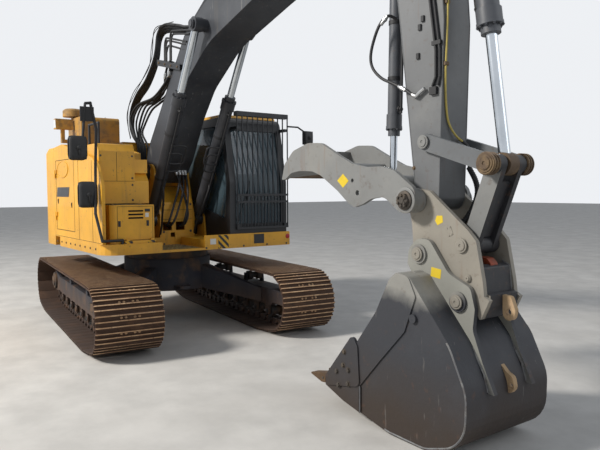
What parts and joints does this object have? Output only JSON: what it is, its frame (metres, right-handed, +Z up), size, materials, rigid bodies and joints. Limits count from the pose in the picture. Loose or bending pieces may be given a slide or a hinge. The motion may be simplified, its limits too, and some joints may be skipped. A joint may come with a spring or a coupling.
{
  "type": "crawler excavator",
  "caption": "Reduced-tail-swing crawler excavator with boom, arm, quick coupler, digging bucket and hydraulic thumb, standing on steel tracks.",
  "frame": {"origin": "middle of the whole machine at ground level, 1.903 m in front of the swing axis", "axes": "+X forward along the boom, +Y to the machine's left, +Z up"},
  "size_m": [8.7683, 3.6598, 5.6473],
  "materials": {
    "yellow_paint": "satin",
    "dark_frame": "satin",
    "track_steel": "rough, rusted",
    "wheel_steel": "rough",
    "boom_paint": "satin",
    "arm_paint": "satin",
    "coupler_paint": "worn satin",
    "bucket_steel": "worn, rusty",
    "tooth_steel": "worn",
    "chrome_rod": "polished",
    "cab_black": "satin",
    "glass": "clear tinted",
    "interior_plastic": "matte",
    "mirror_black": "textured",
    "engine_iron": "matte"
  },
  "bodies": {
    "undercarriage": {"centre_frame": "dark_frame", "track_frames": "dark_frame", "track_right": "track_steel", "track_left": "track_steel", "drives": "wheel_steel", "wheels": "wheel_steel", "swing_ring": "wheel_steel", "tow_eyes": "dark_frame"},
    "upper": {"main_frame": "yellow_paint", "counterweight": "yellow_paint", "right_housing": "yellow_paint", "left_housing": "yellow_paint", "engine": "engine_iron", "fuel_tank": "yellow_paint", "tool_box": "yellow_paint", "roof_fittings": "yellow_paint", "cab_shell": "cab_black", "cab_roof": "yellow_paint", "cab_glass": "glass", "cab_interior": "interior_plastic", "front_guard": "cab_black", "mirrors": "mirror_black", "handrails": "cab_black"},
    "cab_door": {"cab_door": "cab_black", "door_glass": "glass"},
    "right_door": {"right_door": "yellow_paint"},
    "left_door": {"left_door": "yellow_paint"},
    "engine_hood": {"engine_hood": "yellow_paint"},
    "boom": {"boom": "boom_paint", "boom_pipes": "cab_black"},
    "lift_barrels": {"lift_barrels": "boom_paint"},
    "lift_rods": {"lift_rods": "chrome_rod"},
    "arm": {"arm": "arm_paint", "arm_pipes": "cab_black"},
    "crowd_barrel": {"crowd_barrel": "boom_paint"},
    "crowd_rod": {"crowd_rod": "chrome_rod"},
    "curl_barrel": {"curl_barrel": "arm_paint"},
    "curl_rod": {"curl_rod": "chrome_rod"},
    "side_links": {"side_links": "coupler_paint"},
    "bucket_link": {"bucket_link": "coupler_paint"},
    "bucket": {"coupler": "coupler_paint", "bucket": "bucket_steel", "bucket_teeth": "tooth_steel", "bucket_eyes": "tooth_steel"},
    "thumb": {"thumb": "coupler_paint"},
    "thumb_barrel": {"thumb_barrel": "arm_paint"},
    "thumb_rod": {"thumb_rod": "chrome_rod"}
  },
  "joints": [
    {"name": "swing", "type": "hinge", "parent": "undercarriage", "child": "upper", "pos_m": [-1.903, 0, 1], "axis": [0, 0, 1], "continuous": true},
    {"name": "boom_lift", "type": "hinge", "parent": "upper", "child": "boom", "pos_m": [-1.803, -0.055, 2.23], "axis": [0, -1, 0], "range_deg": [-64, 30]},
    {"name": "lift_barrel_swing", "type": "hinge", "parent": "upper", "child": "lift_barrels", "pos_m": [-1.503, -0.055, 1.56], "axis": [0, -1, 0], "range_deg": [-60.55, 28.65]},
    {"name": "lift_rod_slide", "type": "slide", "parent": "lift_barrels", "child": "lift_rods", "axis": [0.5251, 0, 0.8511], "range_m": [-0.7609, 0.3593]},
    {"name": "arm_swing", "type": "hinge", "parent": "boom", "child": "arm", "pos_m": [3.2882, -0.055, 4.7573], "axis": [0, 1, 0], "range_deg": [-78, 28]},
    {"name": "crowd_barrel_swing", "type": "hinge", "parent": "boom", "child": "crowd_barrel", "pos_m": [0.347, -0.055, 4.85], "axis": [0, 1, 0], "range_deg": [-1.34, 2.84]},
    {"name": "crowd_rod_slide", "type": "slide", "parent": "crowd_barrel", "child": "crowd_rod", "axis": [0.976, 0, 0.2177], "range_m": [-1.0635, 0.385]},
    {"name": "bucket_curl", "type": "hinge", "parent": "arm", "child": "bucket", "pos_m": [3.5793, -0.055, 1.892], "axis": [0, 1, 0], "range_deg": [-85, 25]},
    {"name": "side_link_swing", "type": "hinge", "parent": "arm", "child": "side_links", "pos_m": [3.6483, -0.055, 2.36], "axis": [0, 1, 0], "range_deg": [-81.84, 24.42]},
    {"name": "bucket_link_swing", "type": "hinge", "parent": "bucket", "child": "bucket_link", "pos_m": [4.0343, -0.055, 1.552], "axis": [0, 1, 0], "range_deg": [-18.3, 61.01]},
    {"name": "curl_barrel_swing", "type": "hinge", "parent": "arm", "child": "curl_barrel", "pos_m": [3.9282, -0.055, 4.4773], "axis": [0, 1, 0], "range_deg": [-1.35, 3.37]},
    {"name": "curl_rod_slide", "type": "slide", "parent": "curl_barrel", "child": "curl_rod", "axis": [0.1447, 0, -0.9895], "range_m": [-0.8535, 0.2546]},
    {"name": "thumb_swing", "type": "hinge", "parent": "arm", "child": "thumb", "pos_m": [3.5793, -0.055, 1.892], "axis": [0, 1, 0], "range_deg": [-60, 30]},
    {"name": "thumb_barrel_swing", "type": "hinge", "parent": "arm", "child": "thumb_barrel", "pos_m": [3.1293, -0.055, 3.947], "axis": [0, 1, 0], "range_deg": [-1.7, 1.1]},
    {"name": "thumb_rod_slide", "type": "slide", "parent": "thumb_barrel", "child": "thumb_rod", "axis": [-0.0212, 0, -0.9998], "range_m": [-0.2624, 0.5199]},
    {"name": "cab_door_swing", "type": "hinge", "parent": "upper", "child": "cab_door", "pos_m": [-1.547, 1.416, 1.6], "axis": [0, 0, 1], "range_deg": [0, 150]},
    {"name": "right_door_swing", "type": "hinge", "parent": "upper", "child": "right_door", "pos_m": [-2.697, -1.446, 1.6], "axis": [0, 0, -1], "range_deg": [0, 110]},
    {"name": "left_door_swing", "type": "hinge", "parent": "upper", "child": "left_door", "pos_m": [-2.737, 1.446, 1.6], "axis": [0, 0, 1], "range_deg": [0, 110]},
    {"name": "hood_swing", "type": "hinge", "parent": "upper", "child": "engine_hood", "pos_m": [-2.308, 0, 2.662], "axis": [0, 1, 0], "range_deg": [0, 60]}
  ],
  "couplings": [
    {"joint": "lift_barrel_swing", "follows": "boom_lift", "ratio": 0.93832},
    {"joint": "lift_rod_slide", "follows": "boom_lift", "m_per_rad": 0.67675},
    {"joint": "crowd_barrel_swing", "follows": "arm_swing", "ratio": -0.03},
    {"joint": "crowd_rod_slide", "follows": "arm_swing", "m_per_rad": 0.77752},
    {"joint": "side_link_swing", "follows": "bucket_curl", "ratio": 0.95691},
    {"joint": "bucket_link_swing", "follows": "bucket_curl", "ratio": -0.71191},
    {"joint": "curl_barrel_swing", "follows": "bucket_curl", "ratio": -0.0338},
    {"joint": "curl_rod_slide", "follows": "bucket_curl", "m_per_rad": 0.57194},
    {"joint": "thumb_barrel_swing", "follows": "thumb_swing", "ratio": 0.02},
    {"joint": "thumb_rod_slide", "follows": "thumb_swing", "m_per_rad": -0.49169}
  ]
}
